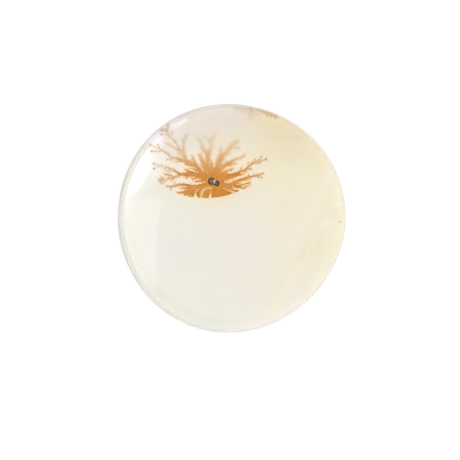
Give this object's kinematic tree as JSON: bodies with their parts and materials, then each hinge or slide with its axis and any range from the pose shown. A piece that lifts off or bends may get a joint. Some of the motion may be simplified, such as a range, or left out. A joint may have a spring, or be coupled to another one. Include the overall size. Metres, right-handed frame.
{
  "type": "dendritic agate cabochon",
  "caption": "Round flat-backed stone of milky translucent agate with a low polished dome and fern-like dendrites inside, for display or for setting in a bezel.",
  "frame": {"origin": "centre of the flat back, on the surface that the stone lies on", "axes": "+Z out of the polished dome, square to the flat back; +Y towards the side of the face that holds the dendrites; +X to the right when the face is seen with +Y up"},
  "size_m": [0.025, 0.025, 0.0052],
  "materials": {
    "agate": "polished, milky and translucent, with iron-brown dendrites"
  },
  "bodies": {
    "root": {"agate_stone": "agate"}
  },
  "joints": []
}
